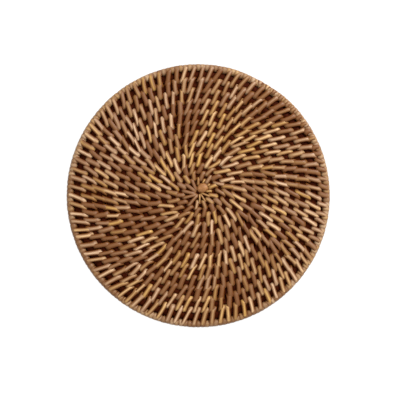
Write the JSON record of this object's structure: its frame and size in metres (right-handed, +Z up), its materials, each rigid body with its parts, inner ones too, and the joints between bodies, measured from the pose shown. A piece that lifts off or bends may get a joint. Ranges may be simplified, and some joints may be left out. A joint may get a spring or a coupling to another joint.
{
  "type": "rattan trivet",
  "caption": "Flat round trivet of coiled rattan sewn with reed, with a closely bound rim, to stand hot pots and dishes on.",
  "frame": {"origin": "centre of the underside, on the surface the trivet lies on", "axes": "+Z up through the mat, from its underside to the face that carries a pot; X and Y lie in the mat, with the start of the coil 2.65 mm from the centre towards +Y"},
  "size_m": [0.2, 0.2, 0.0107],
  "materials": {
    "sewn_reed": "satin",
    "bound_reed": "satin",
    "wound_rod": "satin"
  },
  "bodies": {
    "root": {"coil": "sewn_reed", "rim": "bound_reed", "start_knot": "wound_rod"}
  },
  "joints": []
}
